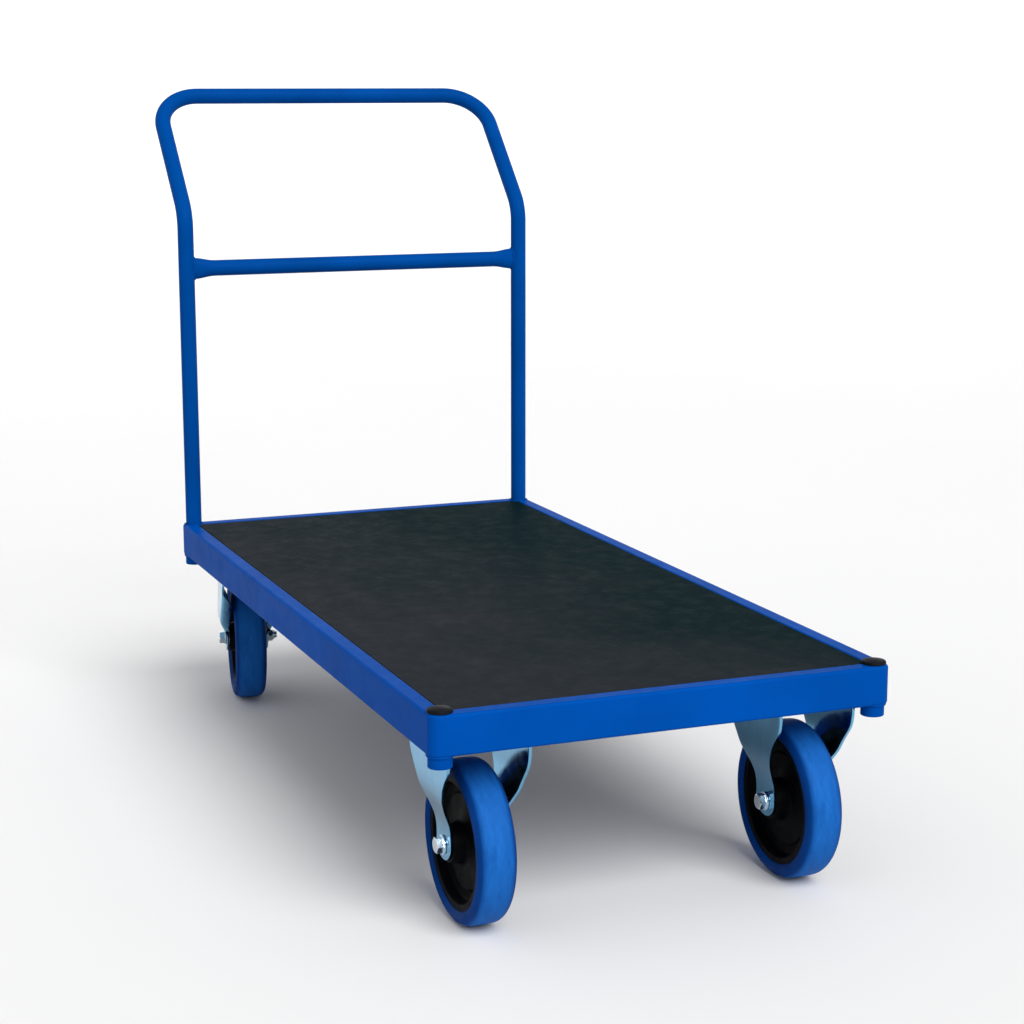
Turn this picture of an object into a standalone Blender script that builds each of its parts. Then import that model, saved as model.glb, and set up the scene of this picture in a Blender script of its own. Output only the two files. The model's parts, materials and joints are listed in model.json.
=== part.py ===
"""Platform cart with a lift-off push handle, modelled in metres, +Z up.

+X is the front (away from the handle), +Y the pusher's left. The origin is on the floor, under the
middle of the whole cart with its handle.
"""
import math

import bmesh
import bpy
from mathutils import Matrix, Vector

# ---- platform -------------------------------------------------------------------------------
DECK_LENGTH = 1.200
DECK_WIDTH = 0.600
DECK_TOP = 0.290
RAIL_HEIGHT = 0.050
RAIL_WIDTH = 0.022
RAIL_WALL = 0.002
RAIL_EDGE_R = 0.004
CORNER_R = 0.014
CORNER_REACH = 0.040        # how far a corner piece runs along each rail
BOARD_THICKNESS = 0.012
BOARD_RECESS = 0.0005       # board top below the rail top
CHANNEL_WALL = 0.0025
CASTER_CHANNEL_WIDTH = 0.124
DECK_BEAM_WIDTH = 0.050
DECK_BEAM_X = 0.170
GAP = 0.0003                # between pieces that touch
PAST = 0.01                 # how far a cutter runs past what it cuts

# ---- corner sockets and handle ---------------------------------------------------------------
SOCKET_INSET = 0.0168       # socket axis from the frame's outer faces
SOCKET_R = 0.0146
SOCKET_BORE_R = 0.0129
SOCKET_DROP = 0.015         # socket below the rails
CAP_HEAD_R = 0.0153
CAP_HEAD_HEIGHT = 0.0055
CAP_ROUND_R = 0.0035
CAP_CROWN = 0.0004          # fall of the cap's top over its flat middle
CAP_CROWN_R = 0.008
CAP_STEM_R = 0.0125
CAP_STEM_LENGTH = 0.014
HANDLE_TUBE_R = 0.0125
HANDLE_INSERTION = 0.060
HANDLE_KINK_Z = 0.788
HANDLE_LEAN = math.radians(44.4)
HANDLE_KINK_R = 0.060
HANDLE_TOP_Z = 0.970        # axis of the grip bar
HANDLE_BEND_R = 0.068
CROSSBAR_Z = 0.702
CROSSBAR_FLAT_LENGTH = 0.030
CROSSBAR_FLAT = (0.72, 1.30)    # flattened end: scale along X and along Z

# ---- casters ---------------------------------------------------------------------------------
WHEEL_R = 0.100
TYRE_HALF_WIDTH = 0.025
TYRE_BORE_R = 0.0820
TYRE_SHOULDER_R = 0.012
TYRE_SEAT_HALF_WIDTH = 0.0215
RIM_LOW_R = 0.074
RIM_HALF_WIDTH = 0.0205
RIM_FLARE = 0.003
WEB_HALF_WIDTH = 0.005
HUB_HALF_WIDTH = 0.029
HUB_R = 0.024
HUB_FLARE = 0.005
HUB_BORE_R = 0.0140
BEARING_R = 0.0137
SLEEVE_R = 0.0099
SLEEVE_BORE_R = 0.0064
AXLE_R = 0.0060
HEX_R = 0.0105              # bolt head and nut, centre to corner
HEX_HEIGHT = 0.0085
WASHER_R = 0.0120
WASHER = 0.0025
BOLT_END = 0.0495           # threaded end, from the wheel's middle
FORK_SHEET = 0.0035
AXLE_OUTER_FACE = 0.0335    # outer face of a caster leg at the axle
AXLE_EYE_R = 0.027
LEG_FOOT_Z = 0.006          # a leg widens above this height over the axle
BRACKET_SLOPE = (0.076, 0.018)      # a fixed leg slopes inwards between these heights over the axle
BRACKET_TAPER = 1.1
BRACKET_BEND_R = 0.006
FORK_SLOPE = (0.034, 0.013)         # the same for a swivel fork's leg
FORK_BEND_R = 0.010
FORK_HALF_WIDTH = 0.0436
CROWN_HALF_LENGTH = 0.050
PLATE_LENGTH = 0.140
PLATE_WIDTH = 0.110
PLATE_THICKNESS = 0.004
PLATE_CORNER_R = 0.012
CASTER_Y = 0.216
FIXED_CASTER_X = 0.499
SWIVEL_CASTER_X = -0.505
SWIVEL_TRAIL = 0.062
SWIVEL_ANGLE = math.radians(-10.0)
SWIVEL_RACE_R = 0.043
SWIVEL_RACE_BORE_R = 0.020
SWIVEL_RACE_HEIGHT = 0.0150
KING_PIN_R = 0.0080
KING_PIN_HEAD_R = 0.0130
KING_PIN_HEAD_HEIGHT = 0.0100

# ---- derived places ----------------------------------------------------------------------------
RAIL_BOTTOM = DECK_TOP - RAIL_HEIGHT
LEG_Y = DECK_WIDTH / 2 - SOCKET_INSET
HANDLE_SETBACK = (HANDLE_TOP_Z - HANDLE_KINK_Z) * math.tan(HANDLE_LEAN)
REAR_REACH = DECK_LENGTH / 2 - SOCKET_INSET + HANDLE_SETBACK + HANDLE_TUBE_R
DECK_X = (REAR_REACH - DECK_LENGTH / 2) / 2     # middle of the platform from the origin
BOARD_HALF_X = DECK_LENGTH / 2 - RAIL_WIDTH - GAP
BOARD_HALF_Y = DECK_WIDTH / 2 - RAIL_WIDTH - GAP
BOARD_BOTTOM = DECK_TOP - BOARD_RECESS - BOARD_THICKNESS
PLATE_TOP = RAIL_BOTTOM - GAP
CROWN_TOP = PLATE_TOP - PLATE_THICKNESS - SWIVEL_RACE_HEIGHT - 2 * GAP


def clear_scene():
    for obj in list(bpy.data.objects):
        bpy.data.objects.remove(obj, do_unlink=True)


def collection(name):
    group = bpy.data.collections.new(name)
    bpy.context.scene.collection.children.link(group)
    return group


def material(name, colour, roughness, metallic):
    mat = bpy.data.materials.new(name)
    mat.use_nodes = True
    shader = mat.node_tree.nodes["Principled BSDF"]
    shader.inputs["Base Color"].default_value = (*colour, 1.0)
    shader.inputs["Roughness"].default_value = roughness
    shader.inputs["Metallic"].default_value = metallic
    return mat


FINISHES = {
    "frame": ((0.0, 0.080, 0.440), 0.32, 0.0),
    "handle": ((0.0, 0.085, 0.450), 0.28, 0.0),
    "board": ((0.012, 0.014, 0.016), 0.55, 0.0),
    "cap": ((0.006, 0.006, 0.007), 0.45, 0.0),
    "tyre": ((0.004, 0.090, 0.620), 0.50, 0.0),
    "wheel_centre": ((0.008, 0.008, 0.010), 0.50, 0.0),
    "zinc": ((0.420, 0.480, 0.520), 0.35, 1.0),
    "fastener": ((0.550, 0.580, 0.600), 0.30, 1.0),
    "bearing": ((0.300, 0.310, 0.320), 0.40, 1.0),
}


# ---- modelling helpers -------------------------------------------------------------------------
def link(obj, finish=None):
    """Put a part in the cart's collection with its own material, or a cutter in the other one."""
    if finish is None:
        CUTTERS.objects.link(obj)
        obj.hide_render = True
        obj.display_type = "WIRE"
    else:
        PARTS.objects.link(obj)
        obj.data.materials.clear()
        obj.data.materials.append(material(obj.name + "_finish", *FINISHES[finish]))
    return obj


def mesh_object(name, bm, finish=None, smooth_angle=None):
    mesh = bpy.data.meshes.new(name)
    bm.normal_update()
    bm.to_mesh(mesh)
    bm.free()
    if smooth_angle is not None:
        mesh.shade_smooth()
        mesh.set_sharp_from_angle(angle=math.radians(smooth_angle))
    return link(bpy.data.objects.new(name, mesh), finish)


def box_mesh(low, high):
    bm = bmesh.new()
    bmesh.ops.create_cube(bm, size=1.0)
    size = [b - a for a, b in zip(low, high)]
    middle = [(a + b) / 2 for a, b in zip(low, high)]
    bmesh.ops.scale(bm, vec=size, verts=bm.verts)
    bmesh.ops.translate(bm, vec=middle, verts=bm.verts)
    return bm


def box(name, low, high, finish=None):
    return mesh_object(name, box_mesh(low, high), finish)


def cylinder_mesh(radius, low, high, segments):
    bm = bmesh.new()
    bmesh.ops.create_cone(bm, cap_ends=True, segments=segments, radius1=radius, radius2=radius,
                          depth=high - low)
    bmesh.ops.translate(bm, vec=(0, 0, (low + high) / 2), verts=bm.verts)
    return bm


def cylinder(name, radius, low, high, place, finish=None, segments=32):
    obj = mesh_object(name, cylinder_mesh(radius, low, high, segments), finish, 40)
    obj.location = place
    return obj


def boolean(obj, cutter, operation="DIFFERENCE"):
    cut = obj.modifiers.new(operation.lower(), "BOOLEAN")
    cut.operation = operation
    cut.solver = "EXACT"
    cut.object = cutter
    return obj


def evaluated_mesh(obj):
    """The object's mesh with its modifiers applied, in its own coordinates."""
    bpy.context.view_layer.update()
    graph = bpy.context.evaluated_depsgraph_get()
    return bpy.data.meshes.new_from_object(obj.evaluated_get(graph), depsgraph=graph)


def turned(name, profile, finish, steps=40, closed=False):
    """A solid of revolution about local Z; an open profile starts and ends on the axis."""
    mesh = bpy.data.meshes.new(name)
    edges = [(i, i + 1) for i in range(len(profile) - 1)]
    if closed:
        edges.append((len(profile) - 1, 0))
    mesh.from_pydata([(r, 0.0, z) for r, z in profile], edges, [])
    obj = link(bpy.data.objects.new(name, mesh), finish)
    screw = obj.modifiers.new("turn", "SCREW")
    screw.axis = "Z"
    screw.steps = screw.render_steps = steps
    screw.use_merge_vertices = True
    screw.merge_threshold = 0.00001
    return obj


def arc(centre, radius, start, end, steps):
    """Points of a circular arc in a plane, angles in degrees."""
    points = []
    for i in range(steps + 1):
        angle = math.radians(start + (end - start) * i / steps)
        points.append((centre[0] + radius * math.cos(angle), centre[1] + radius * math.sin(angle)))
    return points


def filleted(corners, radii, steps):
    """A route through the corners with each inner corner rounded by its radius."""
    route = [Vector(corners[0])]
    for before, corner, after, radius in zip(corners, corners[1:], corners[2:], radii):
        corner = Vector(corner)
        back = (Vector(before) - corner).normalized()
        ahead = (Vector(after) - corner).normalized()
        half = back.angle(ahead) / 2
        centre = corner + (back + ahead).normalized() * radius / math.sin(half)
        first = corner + back * radius / math.tan(half) - centre
        last = corner + ahead * radius / math.tan(half) - centre
        sweep = first.angle(last)
        axis = first.cross(last)
        for i in range(steps + 1):
            route.append(centre + Matrix.Rotation(sweep * i / steps, 3, axis) @ first)
    route.append(Vector(corners[-1]))
    return route


def tube(name, route, radius, finish):
    """A bent bar along a route, as one closed mesh."""
    curve = bpy.data.curves.new(name + "_route", "CURVE")
    curve.dimensions = "3D"
    curve.bevel_depth = radius
    curve.bevel_resolution = 4
    curve.use_fill_caps = True
    spline = curve.splines.new("POLY")
    spline.points.add(len(route) - 1)
    for point, place in zip(spline.points, route):
        point.co = (*place, 1.0)
    guide = link(bpy.data.objects.new(name + "_route", curve))
    mesh = evaluated_mesh(guide)
    bpy.data.objects.remove(guide)
    bm = bmesh.new()
    bm.from_mesh(mesh)
    bpy.data.meshes.remove(mesh)
    bmesh.ops.remove_doubles(bm, verts=bm.verts, dist=0.00002)
    return mesh_object(name, bm, finish, 40)


def channel(name, centre_x, width):
    """A U channel lying open side up across the frame, under the board."""
    top = BOARD_BOTTOM - GAP
    low = (centre_x - width / 2, -BOARD_HALF_Y, RAIL_BOTTOM)
    high = (centre_x + width / 2, BOARD_HALF_Y, top)
    hollow = box(name + "_hollow", (low[0] + CHANNEL_WALL, low[1] - PAST, low[2] + CHANNEL_WALL),
                 (high[0] - CHANNEL_WALL, high[1] + PAST, top + PAST))
    return boolean(box(name, low, high, "frame"), hollow)


# ---- platform ----------------------------------------------------------------------------------
def rounded_box_mesh(half_x, half_y, low_z, high_z, corner_r, edge_r):
    """A box with rounded upright edges and, where edge_r isn't 0, rounded top and bottom rims."""
    bm = box_mesh((-half_x, -half_y, low_z), (half_x, half_y, high_z))
    upright = [e for e in bm.edges if abs(e.verts[0].co.z - e.verts[1].co.z) > 0.001]
    bmesh.ops.bevel(bm, geom=upright, offset=corner_r, segments=6, profile=0.5, affect="EDGES")
    if edge_r:
        rim = [e for e in bm.edges if abs(e.verts[0].co.z - e.verts[1].co.z) < 0.0001]
        bmesh.ops.bevel(bm, geom=rim, offset=edge_r, segments=3, profile=0.5, affect="EDGES")
    return bm


def frame_ring():
    """The hollow rectangular tube of the whole frame, from which rails and corners are cut."""
    half_x, half_y = DECK_LENGTH / 2, DECK_WIDTH / 2
    inner_x, inner_y = half_x - RAIL_WIDTH, half_y - RAIL_WIDTH
    wall = RAIL_WALL
    inside = box("frame_inside", (-inner_x, -inner_y, RAIL_BOTTOM - PAST),
                 (inner_x, inner_y, DECK_TOP + PAST))
    core = box("cavity_core", (-inner_x - wall, -inner_y - wall, RAIL_BOTTOM),
               (inner_x + wall, inner_y + wall, DECK_TOP))
    cavity = mesh_object("frame_cavity", rounded_box_mesh(
        half_x - wall, half_y - wall, RAIL_BOTTOM + wall, DECK_TOP - wall, CORNER_R - wall, 0.0))
    boolean(cavity, core)
    ring = mesh_object("frame_ring", rounded_box_mesh(
        half_x, half_y, RAIL_BOTTOM, DECK_TOP, CORNER_R, RAIL_EDGE_R))
    boolean(boolean(ring, inside), cavity)
    mesh = evaluated_mesh(ring)
    for tool in (inside, core, cavity, ring):
        bpy.data.objects.remove(tool)
    return mesh


def socket_places():
    """Socket axes as (end, side, x, y)."""
    for end, along in (("front", 1), ("rear", -1)):
        for side, across in (("left", 1), ("right", -1)):
            yield end, side, along * (DECK_LENGTH / 2 - SOCKET_INSET), across * LEG_Y


def member(name, ring, low, high, sockets=()):
    """The stretch of the frame ring inside a box."""
    obj = link(bpy.data.objects.new(name, ring.copy()), "frame")
    keep = box(name + "_extent", (*low, RAIL_BOTTOM - PAST), (*high, DECK_TOP + PAST))
    boolean(obj, keep, "INTERSECT")
    for cutter in sockets:
        boolean(obj, cutter)
    return obj


def platform():
    ring = frame_ring()
    end_x, end_y = DECK_LENGTH / 2, DECK_WIDTH / 2
    run_x, run_y = end_x - CORNER_REACH - GAP / 2, end_y - CORNER_REACH - GAP / 2
    for side, sign in (("left", 1), ("right", -1)):
        low, high = sorted((sign * (end_y - RAIL_WIDTH - PAST), sign * (end_y + PAST)))
        member("side_rail_" + side, ring, (-run_x, low), (run_x, high))
    for end, sign in (("front", 1), ("rear", -1)):
        low, high = sorted((sign * (end_x - RAIL_WIDTH - PAST), sign * (end_x + PAST)))
        member("end_rail_" + end, ring, (low, -run_y), (high, run_y))

    board = box("deck_board", (-BOARD_HALF_X, -BOARD_HALF_Y, BOARD_BOTTOM),
                (BOARD_HALF_X, BOARD_HALF_Y, DECK_TOP - BOARD_RECESS), "board")
    for end, side, x, y in socket_places():
        low_z, high_z = RAIL_BOTTOM - SOCKET_DROP, DECK_TOP
        clearance = cylinder("socket_clearance_%s_%s" % (end, side), SOCKET_R + GAP,
                             low_z - PAST, high_z + PAST, (x, y, 0), segments=24)
        boolean(board, clearance)
        reach_x, reach_y = end_x - CORNER_REACH + GAP / 2, end_y - CORNER_REACH + GAP / 2
        low_x, far_x = sorted((math.copysign(reach_x, x), math.copysign(end_x + PAST, x)))
        low_y, far_y = sorted((math.copysign(reach_y, y), math.copysign(end_y + PAST, y)))
        member("corner_%s_%s" % (end, side), ring, (low_x, low_y), (far_x, far_y), [clearance])
        wall = [(SOCKET_BORE_R, high_z), (SOCKET_R, high_z), (SOCKET_R, low_z), (SOCKET_BORE_R, low_z)]
        turned("socket_tube_%s_%s" % (end, side), wall, "frame", 24, True).location = (x, y, 0)

    channel("caster_channel_front", FIXED_CASTER_X, CASTER_CHANNEL_WIDTH)
    channel("caster_channel_rear", SWIVEL_CASTER_X, CASTER_CHANNEL_WIDTH)
    channel("deck_beam_front", DECK_BEAM_X, DECK_BEAM_WIDTH)
    channel("deck_beam_rear", -DECK_BEAM_X, DECK_BEAM_WIDTH)


def socket_caps():
    """Domed plugs in the two front sockets."""
    base = DECK_TOP + GAP
    top = base + CAP_HEAD_HEIGHT
    head = [(0.0, top), (CAP_CROWN_R, top - CAP_CROWN)]
    head += arc((CAP_HEAD_R - CAP_ROUND_R, top - CAP_ROUND_R - 1.5 * CAP_CROWN), CAP_ROUND_R, 90, 0, 3)
    head += [(CAP_HEAD_R, base), (CAP_STEM_R, base), (CAP_STEM_R, base - CAP_STEM_LENGTH)]
    head += [(0.0, base - CAP_STEM_LENGTH)]
    for end, side, x, y in socket_places():
        if end == "front":
            turned("socket_cap_" + side, head, "cap", 24).location = (x, y, 0)


# ---- handle ------------------------------------------------------------------------------------
def handle():
    leg_x = -DECK_LENGTH / 2 + SOCKET_INSET
    foot = (leg_x, LEG_Y, DECK_TOP - HANDLE_INSERTION)
    kink = (leg_x, LEG_Y, HANDLE_KINK_Z)
    top = (leg_x - HANDLE_SETBACK, LEG_Y, HANDLE_TOP_Z)
    half = [foot, kink, top]
    corners = half + [(x, -y, z) for x, y, z in reversed(half)]
    radii = (HANDLE_KINK_R, HANDLE_BEND_R, HANDLE_BEND_R, HANDLE_KINK_R)
    tube("handle_hoop", filleted(corners, radii, 8), HANDLE_TUBE_R, "handle")

    bm = cylinder_mesh(HANDLE_TUBE_R, -LEG_Y, LEG_Y, 24)
    for shoulder in (LEG_Y - CROSSBAR_FLAT_LENGTH - HANDLE_TUBE_R, LEG_Y - HANDLE_TUBE_R):
        for place in (-shoulder, shoulder):
            geometry = bm.verts[:] + bm.edges[:] + bm.faces[:]
            bmesh.ops.bisect_plane(bm, geom=geometry, plane_co=(0, 0, place), plane_no=(0, 0, 1))
    flat_from = LEG_Y - HANDLE_TUBE_R - 0.001
    for vert in bm.verts:
        if abs(vert.co.z) > flat_from:
            vert.co.x *= CROSSBAR_FLAT[0]
            vert.co.y *= CROSSBAR_FLAT[1]
    bmesh.ops.rotate(bm, cent=(0, 0, 0), matrix=Matrix.Rotation(math.pi / 2, 3, "X"), verts=bm.verts)
    bar = mesh_object("handle_crossbar", bm, "handle", 40)
    bar.location = (leg_x, 0, CROSSBAR_Z)
    for side, y in (("left", LEG_Y), ("right", -LEG_Y)):
        leg = cylinder("crossbar_mouth_" + side, HANDLE_TUBE_R + GAP, CROSSBAR_Z - 0.03,
                       CROSSBAR_Z + 0.03, (leg_x, y, 0), segments=36)
        boolean(bar, leg)


# ---- casters -----------------------------------------------------------------------------------
def pivot(name, x, y, z, angle=0.0, parent=None):
    """An empty on a joint's axis; its pieces are placed in its own coordinates."""
    empty = bpy.data.objects.new(name, None)
    PARTS.objects.link(empty)
    empty.location = (x, y, z)
    empty.rotation_euler = (0, 0, angle)
    empty.parent = parent
    return empty


def on_axle(obj, axle):
    """Turn a piece made about local Z so that it lies on the axle, along Y."""
    obj.parent = axle
    obj.rotation_euler = (-math.pi / 2, 0, 0)
    return obj


def sheet(name, rows, thickness, cutters, columns=2):
    """A pressed sheet, symmetric in Y. Each row is (y, z, back x, front x) on the middle surface."""
    bm = bmesh.new()
    grid = []
    for y, z, back, front in rows:
        step = (front - back) / columns
        grid.append([bm.verts.new((back + step * i, y, z)) for i in range(columns + 1)])
    for upper, lower in zip(grid, grid[1:]):
        for i in range(columns):
            bm.faces.new((upper[i], upper[i + 1], lower[i + 1], lower[i]))
    obj = mesh_object(name, bm, "zinc", 30)
    mirror = obj.modifiers.new("mirror", "MIRROR")
    mirror.use_axis = (False, True, False)
    mirror.use_clip = True
    mirror.merge_threshold = 0.0001
    wall = obj.modifiers.new("thickness", "SOLIDIFY")
    wall.thickness = thickness
    wall.offset = 0.0
    wall.use_even_offset = True
    for cutter in cutters:
        boolean(obj, cutter)
    return obj


def leg_rows(top_z, top_y, foot_y, slope, half_width, middle):
    """Rows of a caster leg from its bend down to the round eye at the axle (z is from the axle)."""
    slope_top_z, slope_foot_z = slope
    rows = []
    for z in (top_z, slope_top_z, (slope_top_z + slope_foot_z) / 2, slope_foot_z, LEG_FOOT_Z):
        share = min(1.0, max(0.0, (z - slope_foot_z) / (slope_top_z - slope_foot_z)))
        y = foot_y + (top_y - foot_y) * share
        rows.append((y, z, middle(z) - half_width(z), middle(z) + half_width(z)))
    for angle in (0, 25, 50, 70, 84):
        turn = math.radians(angle)
        reach = AXLE_EYE_R * math.cos(turn)
        rows.append((foot_y, -AXLE_EYE_R * math.sin(turn), -reach, reach))
    return rows


def bend_rows(top_z, edge_y, radius, half_length, middle):
    """Rows of the flat top and of the bend down to a leg, on the middle surface."""
    rows = [(0.0, top_z, middle - half_length, middle + half_length)]
    for y, z in arc((edge_y - radius, top_z - radius), radius, 90, 0, 4):
        rows.append((y, z, middle - half_length, middle + half_length))
    return rows


def axle_bore(prefix, axle):
    """The cutter of the bolt holes in a housing's two legs."""
    bore = cylinder(prefix + "_axle_bore", AXLE_R + GAP, -BOLT_END, BOLT_END, (0, 0, 0), segments=24)
    return on_axle(bore, axle)


def fixed_bracket(prefix, axle):
    """Fixed caster housing: plate and two tapering legs pressed from one sheet."""
    foot_y = AXLE_OUTER_FACE - FORK_SHEET / 2
    top_z = PLATE_TOP - WHEEL_R - FORK_SHEET / 2
    top_y = PLATE_WIDTH / 2
    leg_top = top_z - BRACKET_BEND_R

    def half_width(z):
        share = max(0.0, z - LEG_FOOT_Z) / (leg_top - LEG_FOOT_Z)
        return AXLE_EYE_R + (PLATE_LENGTH / 2 - AXLE_EYE_R) * share ** BRACKET_TAPER

    rows = bend_rows(top_z, top_y, BRACKET_BEND_R, PLATE_LENGTH / 2, 0.0)[:-1]
    rows += leg_rows(leg_top, top_y, foot_y, BRACKET_SLOPE, half_width, lambda z: 0.0)
    sheet(prefix + "_bracket", rows, FORK_SHEET, [axle_bore(prefix, axle)]).parent = axle


def swivel_head(prefix, head, axle):
    """Top plate, ball race, king pin and fork of a swivel caster."""
    plate_low = PLATE_TOP - PLATE_THICKNESS
    pin_bore = cylinder(prefix + "_pin_bore", KING_PIN_R + GAP, CROWN_TOP - FORK_SHEET - PAST,
                        PLATE_TOP + PAST, (0, 0, 0), segments=32)
    pin_bore.parent = head
    half_x, half_y = PLATE_LENGTH / 2, PLATE_WIDTH / 2
    bm = box_mesh((-half_x, -half_y, plate_low), (half_x, half_y, PLATE_TOP))
    upright = [e for e in bm.edges if abs(e.verts[0].co.z - e.verts[1].co.z) > 0.001]
    bmesh.ops.bevel(bm, geom=upright, offset=PLATE_CORNER_R, segments=4, profile=0.5, affect="EDGES")
    plate = mesh_object(prefix + "_top_plate", bm, "zinc")
    plate.location = (head.location.x, head.location.y, 0)
    boolean(plate, pin_bore)

    race_top = plate_low - GAP
    race_low = race_top - SWIVEL_RACE_HEIGHT
    race = [(SWIVEL_RACE_BORE_R, race_top), (SWIVEL_RACE_R - 0.004, race_top),
            (SWIVEL_RACE_R, race_top - 0.004), (SWIVEL_RACE_R, race_low + 0.002),
            (SWIVEL_RACE_R - 0.002, race_low), (SWIVEL_RACE_BORE_R, race_low)]
    turned(prefix + "_ball_race", race, "bearing", 32, True).parent = head

    head_top = CROWN_TOP - FORK_SHEET - GAP
    pin = [(0.0, PLATE_TOP - GAP), (KING_PIN_R, PLATE_TOP - GAP), (KING_PIN_R, head_top),
           (KING_PIN_HEAD_R, head_top), (KING_PIN_HEAD_R, head_top - KING_PIN_HEAD_HEIGHT),
           (0.0, head_top - KING_PIN_HEAD_HEIGHT)]
    turned(prefix + "_king_pin", pin, "fastener", 24).parent = head

    foot_y = AXLE_OUTER_FACE - FORK_SHEET / 2
    top_z = CROWN_TOP - FORK_SHEET / 2 - WHEEL_R
    leg_top = top_z - FORK_BEND_R

    def share(z):
        return min(1.0, max(0.0, z - LEG_FOOT_Z) / (leg_top - LEG_FOOT_Z))

    def middle(z):
        return SWIVEL_TRAIL * share(z)

    def half_width(z):
        return AXLE_EYE_R + (CROWN_HALF_LENGTH - AXLE_EYE_R) * share(z)

    rows = bend_rows(top_z, FORK_HALF_WIDTH, FORK_BEND_R, CROWN_HALF_LENGTH, SWIVEL_TRAIL)[:-1]
    rows += leg_rows(leg_top, FORK_HALF_WIDTH, foot_y, FORK_SLOPE, half_width, middle)
    sheet(prefix + "_fork", rows, FORK_SHEET, [axle_bore(prefix, axle), pin_bore]).parent = axle


def wheel(prefix, axle):
    """Tyre, moulded centre, roller bearing, sleeve, axle bolt and nut, about the axle."""
    width, shoulder = TYRE_HALF_WIDTH, TYRE_SHOULDER_R
    outside = arc((WHEEL_R - shoulder, width - shoulder), shoulder, 90, 0, 3)
    outside += arc((WHEEL_R - shoulder, shoulder - width), shoulder, 0, -90, 3)
    tyre = [(TYRE_BORE_R, TYRE_SEAT_HALF_WIDTH)] + outside + [(TYRE_BORE_R, -TYRE_SEAT_HALF_WIDTH)]
    on_axle(turned(prefix + "_tyre", tyre, "tyre", 28, True), axle)

    upper = [(HUB_BORE_R, HUB_HALF_WIDTH), (HUB_R, HUB_HALF_WIDTH), (HUB_R + HUB_FLARE, WEB_HALF_WIDTH),
             (RIM_LOW_R - RIM_FLARE, WEB_HALF_WIDTH), (RIM_LOW_R, RIM_HALF_WIDTH),
             (TYRE_BORE_R - GAP, RIM_HALF_WIDTH)]
    centre = upper + [(r, -z) for r, z in reversed(upper)]
    on_axle(turned(prefix + "_centre", centre, "wheel_centre", 28, True), axle)

    ends = HUB_HALF_WIDTH - 0.001
    ring = [(SLEEVE_R + GAP, ends), (BEARING_R, ends), (BEARING_R, -ends), (SLEEVE_R + GAP, -ends)]
    on_axle(turned(prefix + "_bearing", ring, "bearing", 16, True), axle)

    ends = AXLE_OUTER_FACE - FORK_SHEET - GAP
    ring = [(SLEEVE_BORE_R, ends), (SLEEVE_R, ends), (SLEEVE_R, -ends), (SLEEVE_BORE_R, -ends)]
    on_axle(turned(prefix + "_sleeve", ring, "fastener", 16, True), axle)

    face = AXLE_OUTER_FACE + GAP
    hex_from, hex_to = face + WASHER - 0.0005, face + WASHER + HEX_HEIGHT
    bolt = mesh_object(prefix + "_axle_bolt", cylinder_mesh(HEX_R, -hex_to, -hex_from, 6), "fastener")
    shank = cylinder(prefix + "_bolt_shank", AXLE_R, 0.001 - hex_to, BOLT_END, (0, 0, 0), segments=16)
    collar = cylinder(prefix + "_bolt_washer", WASHER_R, -face - WASHER, -face, (0, 0, 0), segments=16)
    nut = mesh_object(prefix + "_axle_nut", cylinder_mesh(HEX_R, hex_from, hex_to, 6), "fastener")
    ring = cylinder(prefix + "_nut_washer", WASHER_R, face, face + WASHER, (0, 0, 0), segments=16)
    thread = cylinder(prefix + "_nut_bore", AXLE_R + GAP, 0.0, 0.08, (0, 0, 0), segments=16)
    for piece in (bolt, shank, collar, nut, ring, thread):
        on_axle(piece, axle)
    boolean(boolean(bolt, shank, "UNION"), collar, "UNION")
    boolean(boolean(nut, ring, "UNION"), thread)


def casters():
    for side, y in (("left", CASTER_Y), ("right", -CASTER_Y)):
        prefix = "front_" + side
        axle = pivot(prefix + "_axle", FIXED_CASTER_X, y, WHEEL_R)
        fixed_bracket(prefix, axle)
        wheel(prefix, axle)
        prefix = "rear_" + side
        head = pivot(prefix + "_swivel", SWIVEL_CASTER_X, y, 0.0, SWIVEL_ANGLE)
        axle = pivot(prefix + "_axle", -SWIVEL_TRAIL, 0, WHEEL_R, 0.0, head)
        swivel_head(prefix, head, axle)
        wheel(prefix, axle)


clear_scene()
PARTS = collection("platform_cart")
CUTTERS = collection("cutters")
platform()
socket_caps()
handle()
casters()

# Everything above is placed from the platform's middle; the origin is under the whole cart's middle.
for item in list(PARTS.objects) + list(CUTTERS.objects):
    if item.parent is None:
        item.location.x += DECK_X
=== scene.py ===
"""Looks of the platform cart: fine surfaces, welds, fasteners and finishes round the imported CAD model.

Metres, in the row frame: +X is the front (away from the handle), +Y the pusher's left, the floor is z = 0.
"""
import json
import math

import bmesh
import bpy
from mathutils import Matrix, Vector, noise


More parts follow.
